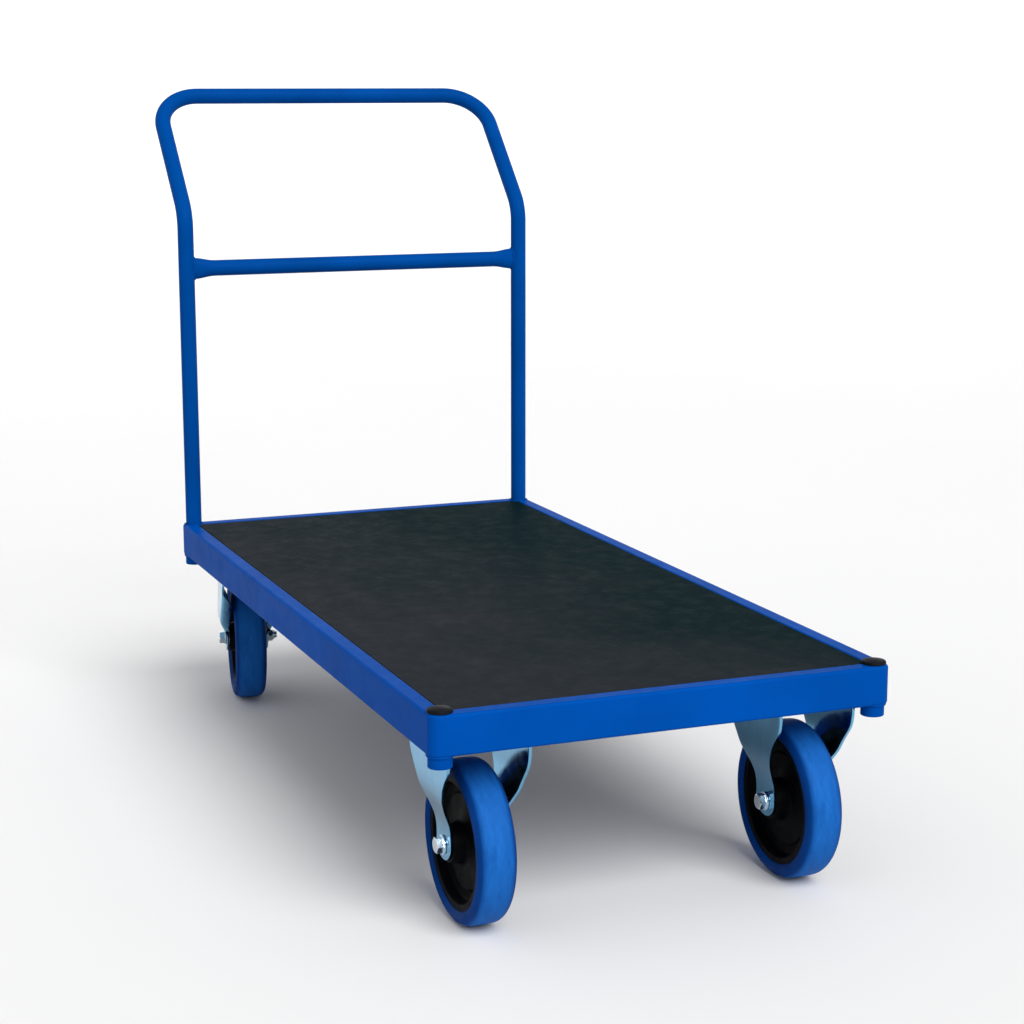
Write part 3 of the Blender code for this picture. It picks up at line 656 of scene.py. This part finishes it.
def plate_bolt_mesh():
    """M10 screw seen from below: washer and head, with a stub of shank through the plate."""
    bm = bmesh.new()
    outer, thick = PLATE_WASHER
    washer_shell(bm, PLATE_BORE_R, outer, -thick, 0.0)
    hex_shell(bm, PLATE_HEX_R, -0.0082, -thick, chamfer_low=True, chamfer_high=False)
    shank_shell(bm, 0.0048, -0.003, 0.0205, 0.006)
    return new_object("plate_bolt_form", bm, 25)


def channel_nut_mesh():
    bm = bmesh.new()
    outer, thick = PLATE_WASHER
    washer_shell(bm, PLATE_BORE_R, outer, 0.0, thick)
    hex_shell(bm, PLATE_HEX_R, thick, 0.0100, chamfer_low=True)
    return new_object("channel_nut_form", bm, 25)


# ---- wheels --------------------------------------------------------------------------------------
def tyre_mesh():
    """Solid rubber tyre: round shoulders, a slight crown, a ridge where its mould closed, a bead at the
    rim."""
    half, bore, shoulder = 0.0250, 0.0820, 0.0125
    side = [(bore, 0.0208), (bore + 0.0012, 0.0222), (bore + 0.0040, 0.0236), (WHEEL_R - shoulder, half)]
    crown = []
    for i in range(13):
        turn = math.pi / 2 * i / 12
        crown.append((WHEEL_R - shoulder + shoulder * math.sin(turn) * 0.965,
                      half - shoulder + shoulder * math.cos(turn)))
    tread = [(WHEEL_R - 0.00022, 0.0080), (WHEEL_R - 0.00006, 0.0030), (WHEEL_R - 0.00004, 0.0007),
             (WHEEL_R, 0.0004)]
    upper = side + crown[1:] + tread
    profile = upper + [(r, -z) for r, z in reversed(upper)]
    return lathe("tyre_form", profile, 160, sharp=40)


def centre_mesh():
    """Moulded wheel centre: rim, dished web with a shallow step, and a long hub."""
    rim, hub_end = 0.0817, 0.0290
    upper = rounded([(0.0140, hub_end), (0.0225, hub_end), (0.0262, 0.0110), (0.0400, 0.0085),
                     (0.0580, 0.0085), (0.0600, 0.0065), (0.0705, 0.0065), (0.0738, 0.0205), (rim, 0.0205)],
                    (0.0004, 0.0018, 0.0060, 0.0100, 0.0012, 0.0012, 0.0045, 0.0016, 0.0006), 5, closed=False)
    upper = [(0.0140, hub_end - 0.0008)] + [(v[0], v[1]) for v in upper[1:]]
    return lathe("centre_form", upper + [(r, -z) for r, z in reversed(upper)], 128, sharp=40)


def ring_mesh(name, inner, outer, half, edge):
    corners = [(inner, half), (outer, half), (outer, -half), (inner, -half)]
    return lathe(name, rounded(corners, [edge] * 4, 3), 64)


def wheels():
    bearing = ring_mesh("bearing_form", 0.0102, 0.0137, 0.0280, 0.0004)
    sleeve = ring_mesh("sleeve_form", 0.0064, 0.0099, 0.0297, 0.0003)
    pieces = (("tyre", tyre_mesh(), RUBBER, "blue_tyre"),
              ("centre", centre_mesh(), POLYAMIDE, "wheel_centre"),
              ("bearing", bearing, BEARING, "bearing_steel"),
              ("sleeve", sleeve, FASTENER, "steel_fasteners"),
              ("axle_bolt", axle_bolt_mesh(), FASTENER, "steel_fasteners"),
              ("axle_nut", axle_nut_mesh(), FASTENER, "steel_fasteners"))
    for prefix, place in AXLES.items():
        for kind, form, finish, slot in pieces:
            node = "%s_%s" % (prefix, kind)
            outfit(copied(node + "_fine", form), finish, BODY_OF[node], [node],
                   place @ Matrix.Rotation(-math.pi / 2, 4, "X"))
    for _, form, _, _ in pieces:
        bpy.data.objects.remove(form)


def axle_places():
    """Each wheel's own frame: X ahead, Y along the axle, Z up."""
    places = {}
    for side, _ in SIDES:
        places["front_" + side] = Matrix.Translation(middle("front_%s_tyre" % side))
        head, wheel = middle("rear_%s_ball_race" % side), middle("rear_%s_tyre" % side)
        angle = math.atan2(head.y - wheel.y, head.x - wheel.x)
        places["rear_" + side] = Matrix.Translation(wheel) @ Matrix.Rotation(angle, 4, "Z")
    return places


AXLES = axle_places()


# ---- caster housings -----------------------------------------------------------------------------
def between(table, z):
    """Read a short table of (height, value) rows, highest first, along a smooth curve through them."""
    if z >= table[0][0]:
        return table[0][1]
    if z <= table[-1][0]:
        return table[-1][1]
    last = len(table) - 1
    slopes = []
    for i in range(last + 1):
        (high, top), (low, foot) = table[max(0, i - 1)], table[min(last, i + 1)]
        slopes.append((top - foot) / (high - low))
    i = next(k for k in range(last) if z >= table[k + 1][0])
    (high, top), (low, foot) = table[i], table[i + 1]
    step = high - low
    t = (z - low) / step
    bent = step * (slopes[i + 1] * (t ** 3 - 2 * t ** 2 + t) + slopes[i] * (t ** 3 - t ** 2))
    return foot + (top - foot) * (3 * t ** 2 - 2 * t ** 3) + bent


def pressed(name, rows, columns=60):
    """A pressed sheet, mirrored in Y. Each row gives the middle surface for a share -1..1 of its length."""
    shares = [2 * i / columns - 1 for i in range(columns + 1)]
    half = [[Vector(row(share)) for share in shares] for row in rows]
    other = [[Vector((p.x, -p.y, p.z)) for p in row] for row in half]
    bm = bmesh.new()
    shell(bm, list(reversed(half)) + other, caps=False, wrap=False)
    obj = new_object(name, bm, 50)
    wall = obj.modifiers.new("thickness", "SOLIDIFY")
    wall.thickness = SHEET
    wall.offset = 0.0
    wall.use_even_offset = True
    edge = obj.modifiers.new("edges", "BEVEL")
    edge.width = 0.0007
    edge.segments = 2
    edge.limit_method = "ANGLE"
    edge.angle_limit = math.radians(55)
    return applied(obj)


def folded_edge(share, reach, inward):
    """Place across a leg for a share -1..1, as (x, depth inwards), its two edges folded in by a depth."""
    turn = math.acos(1 - inward / FOLD_R) if inward < FOLD_R else math.pi / 2
    straight = max(0.0, inward - FOLD_R)
    flat_end, fold_end = 0.60, 1.0 - 0.16 * min(1.0, straight / 0.004)
    start = reach - FOLD_R * math.sin(turn)
    part = abs(share)
    if part <= flat_end:
        x, depth = start * part / flat_end, 0.0
    elif part <= fold_end:
        angle = turn * (part - flat_end) / (fold_end - flat_end)
        x, depth = start + FOLD_R * math.sin(angle), FOLD_R * (1 - math.cos(angle))
    else:
        x, depth = reach, FOLD_R + straight * (part - fold_end) / (1 - fold_end)
    return math.copysign(x, share), depth


def fixed_housing_mesh():
    """Plate and two legs pressed from one sheet: a leg drops from the plate's edge, narrows like a funnel
    while it closes in on the wheel, and ends in a straight strap with a round eye."""
    top = PLATE_TOP - WHEEL_R - SHEET / 2
    foot = AXLE_FACE - SHEET / 2
    bend, edge_y, eye_r, eye_drop, corner_r = 0.0070, 0.0505, 0.0230, 0.0185, 0.0120
    top_reach = 0.0685
    lateral = [(top - bend, edge_y), (0.091, edge_y), (0.080, 0.0498), (0.068, 0.0478), (0.057, 0.0440),
               (0.046, 0.0394), (0.034, 0.0350), (0.023, 0.0326), (0.012, foot), (0.0, foot)]
    length = [(top - bend, top_reach), (0.120, 0.0675), (0.110, 0.0652), (0.101, 0.0604), (0.091, 0.0524),
              (0.080, 0.0448), (0.068, 0.0386), (0.057, 0.0318), (0.046, 0.0260), (0.034, 0.0233),
              (0.023, eye_r), (0.0, eye_r)]

    def plate_row(y):
        corner = max(0.0, y - (edge_y - corner_r))
        reach = PLATE_HALF_LENGTH - (corner_r - math.sqrt(max(0.0, corner_r ** 2 - corner ** 2)))
        return lambda share: (reach * share, y, top)

    def bend_row(turn):
        y = edge_y - bend + bend * math.sin(turn)
        z = top - bend + bend * math.cos(turn)
        reach = top_reach + 0.0010 * (1 - math.sin(turn))
        return lambda share: (reach * share, y, z)

    def leg_row(z):
        y, reach = between(lateral, z), between(length, z)
        return lambda share: (reach * share, y, z)

    def eye_row(turn):
        reach = eye_r * math.cos(turn)
        return lambda share: (reach * share, foot, -eye_drop * math.sin(turn))

    rows = [plate_row((edge_y - bend) * i / 9) for i in range(10)]
    rows += [bend_row(math.pi / 2 * i / 6) for i in range(1, 7)]
    rows += [leg_row((top - bend) * (1 - i / 44)) for i in range(1, 45)]
    rows += [eye_row(math.radians(a)) for a in (12, 24, 36, 48, 60, 72, 82)]
    return pressed("fixed_housing_form", rows)


def swivel_fork_mesh():
    """Fork with a flat crown over the wheel. Its legs rake back to the axle, and each has broad flanges
    turned in towards the tyre, which fade out towards the hub."""
    crown_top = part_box("rear_left_fork")[1].z - WHEEL_R
    top, foot = crown_top - SHEET / 2, AXLE_FACE - SHEET / 2
    bend, edge_y, eye_r, top_reach = 0.0100, 0.0436, 0.0220, 0.0470
    flange = edge_y - 0.0285
    lateral = [(top - bend, edge_y), (0.040, edge_y), (0.032, 0.0422), (0.022, 0.0378), (0.014, 0.0338),
               (0.008, foot), (0.0, foot)]
    lip = [(top - bend, 0.0), (0.094, 0.0006), (0.086, 0.0060), (0.076, 0.0120), (0.066, flange),
           (0.040, flange), (0.032, 0.0137), (0.024, 0.0080), (0.018, 0.0006), (0.016, 0.0), (0.0, 0.0)]

    def place(z):
        share = min(1.0, max(0.0, z / (top - bend)))
        share = share * share * (3 - 2 * share) * 0.5 + share * 0.5
        return TRAIL * share, eye_r + (top_reach - eye_r) * share

    def crown_row(y):
        reach = top_reach + 0.0030 * math.cos(math.pi / 2 * y / edge_y)
        return lambda share: (TRAIL + reach * share, y, top)

    def bend_row(turn):
        y, z = edge_y - bend + bend * math.sin(turn), top - bend + bend * math.cos(turn)
        return lambda share: (TRAIL + top_reach * share, y, z)

    def leg_row(z):
        centre, reach = place(z)
        y, inward = between(lateral, z), max(0.0, between(lip, z))

        def row(share):
            x, depth = folded_edge(share, reach, inward)
            return centre + x, y - depth, z
        return row

    def eye_row(turn):
        reach = eye_r * math.cos(turn)
        return lambda share: (reach * share, foot, -eye_r * math.sin(turn))

    rows = [crown_row((edge_y - bend) * i / 6) for i in range(7)]
    rows += [bend_row(math.pi / 2 * i / 6) for i in range(1, 7)]
    rows += [leg_row((top - bend) * (1 - i / 44)) for i in range(1, 45)]
    rows += [eye_row(math.radians(a)) for a in (12, 24, 36, 48, 60, 72, 82)]
    return pressed("swivel_fork_form", rows)


def plate_fasteners(prefix, plate_low, bolt, nut):
    """Four screws up through a caster's plate and the channel, each with its nut."""
    centre = middle(prefix + ("_bracket" if prefix.startswith("front") else "_top_plate"))
    reach = PLATE_BOLTS[prefix.split("_")[0]]
    channel_floor = RAIL_LOW + PRESSING_WALL + 0.0002
    number = 0
    for along in (1, -1):
        for across in (1, -1):
            number += 1
            x, y = centre.x + along * reach[0], centre.y + across * reach[1]
            for kind, form, z in (("plate_bolt", bolt, plate_low), ("channel_nut", nut, channel_floor)):
                outfit(copied("%s_%s_%d" % (prefix, kind, number), form), FASTENER,
                       "platform", place=Matrix.Translation((x, y, z)))


def swivel_plate(prefix):
    """Top plate with rounded corners and edges."""
    low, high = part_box(prefix + "_top_plate")
    half = (high - low) / 2
    corner_r, edge_r, inner = 0.012, 0.0012, 0.05
    edge = rounded([(inner, low.z), (0.0, low.z), (0.0, high.z), (inner, high.z)], (0, edge_r, edge_r, 0), 3,
                   closed=False)
    rings = []
    for inset, z in edge[1:-1]:
        corners = [(half.x - inset, half.y - inset), (inset - half.x, half.y - inset),
                   (inset - half.x, inset - half.y), (half.x - inset, inset - half.y)]
        rings.append([((low.x + high.x) / 2 + p.x, (low.y + high.y) / 2 + p.y, z)
                      for p in rounded(corners, [corner_r - inset] * 4, 8)])
    outfit(even_normals(loft(prefix + "_plate", rings)), ZINC, "platform",
           [prefix + "_top_plate"])


def swivel_head(prefix):
    """Ball race in two pressed cups with a seal line between, and the riveted king pin under the crown."""
    node = prefix + "_ball_race"
    low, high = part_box(node)
    at = middle(node)
    outer, height, inner = (high.x - low.x) / 2, high.z - low.z, 0.0200
    outline = [(inner, height), (outer - 0.006, height), (outer - 0.0015, height * 0.62),
               (outer - 0.0015, height * 0.52), (outer - 0.0032, height * 0.49),
               (outer - 0.0032, height * 0.44), (outer, height * 0.40), (outer, 0.0016),
               (outer - 0.0020, 0.0), (inner, 0.0)]
    radii = (0.0005, 0.0030, 0.0014, 0.0006, 0.0004, 0.0004, 0.0006, 0.0012, 0.0006, 0.0005)
    race = lathe(prefix + "_race_fine", rounded(outline, radii, 4), 96)
    outfit(race, BEARING, BODY_OF[node], [node], Matrix.Translation((at.x, at.y, low.z)))

    node = prefix + "_king_pin"
    low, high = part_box(node)
    head_r, shank_r, head = (high.x - low.x) / 2, 0.0080, 0.0100
    outline = [(0.0, high.z), (shank_r, high.z), (shank_r, low.z + head), (head_r, low.z + head),
               (head_r, low.z + 0.003), (head_r * 0.72, low.z), (0.0, low.z)]
    radii = (0, 0.0005, 0, 0.0008, 0.0020, 0.0030, 0)
    pin = lathe(prefix + "_pin_fine", rounded(outline, radii, 5, closed=False), 64, closed=False)
    outfit(pin, FASTENER, BODY_OF[node], [node], Matrix.Translation((at.x, at.y, 0)))


def casters():
    housing, fork = fixed_housing_mesh(), swivel_fork_mesh()
    bolt, nut = plate_bolt_mesh(), channel_nut_mesh()
    for prefix, place in AXLES.items():
        if prefix.startswith("front"):
            node = prefix + "_bracket"
            outfit(copied(prefix + "_housing", housing), ZINC, BODY_OF[node], [node], place)
            plate_fasteners(prefix, PLATE_TOP - SHEET, bolt, nut)
        else:
            node = prefix + "_fork"
            outfit(copied(prefix + "_fork_fine", fork), ZINC, BODY_OF[node], [node], place)
            swivel_plate(prefix)
            swivel_head(prefix)
            plate_fasteners(prefix, PLATE_LOW, bolt, nut)
    for form in (housing, fork, bolt, nut):
        bpy.data.objects.remove(form)


# ---- studio --------------------------------------------------------------------------------------
def studio():
    """A pale floor that curves up into a wall all round, a soft key light from the front and a weak one."""
    wall = rounded([(0.0, 0.0), (11.0, 0.0), (12.0, 5.0)], (0, 2.5, 0), 16, closed=False)
    floor = lathe("studio_floor", wall, 96, closed=False)
    mat = surface("studio_floor", 0.9, specular=0.1)
    mottle = blend_colours(mat, clouds(mat, object_space(mat), 0.6), (0.76, 0.76, 0.76), (0.79, 0.79, 0.79))
    feed(mat, Base_Color=mottle)
    floor.data.materials.append(mat)

    world = bpy.data.worlds.new("studio")
    bpy.context.scene.world = world
    world.use_nodes = True
    sky = world.node_tree.nodes["Background"]
    sky.inputs["Color"].default_value = (1.0, 1.0, 1.0, 1.0)
    sky.inputs["Strength"].default_value = 0.52
    lamps = (("key", (1.0, 0.15, 0.90), 40, 3.1), ("fill", (0.2, -1.0, 0.9), 60, 0.15))
    for name, way, softness, strength in lamps:
        light = bpy.data.lights.new(name, "SUN")
        light.angle, light.energy = math.radians(softness), strength
        lamp = bpy.data.objects.new(name, light)
        lamp.rotation_mode = "QUATERNION"
        lamp.rotation_quaternion = Vector(way).to_track_quat("Z", "Y")
        bpy.context.scene.collection.objects.link(lamp)


def camera():
    """The photograph's camera, as fitted to the frame's edges and the wheels."""
    data = bpy.data.cameras.new("camera")
    data.sensor_width = 36.0
    data.lens = 76.795
    cam = bpy.data.objects.new("camera", data)
    bpy.context.scene.collection.objects.link(cam)
    azimuth, tilt, roll = math.radians(21.79), math.radians(11.057), math.radians(-0.052)
    view = Vector((-math.cos(azimuth) * math.cos(tilt), math.sin(azimuth) * math.cos(tilt), -math.sin(tilt)))
    cam.rotation_mode = "QUATERNION"
    turn = view.to_track_quat("-Z", "Y").to_matrix() @ Matrix.Rotation(roll, 3, "Z")
    cam.rotation_quaternion = turn.to_quaternion()
    cam.location = (2.9162, -1.0926, 0.9870)
    bpy.context.scene.camera = cam
    bpy.context.scene.view_settings.view_transform = "Standard"


frame_ring()
sockets()
caps()
board()
cross_members()
handle()
wheels()
casters()
studio()
camera()

bpy.context.view_layer.update()
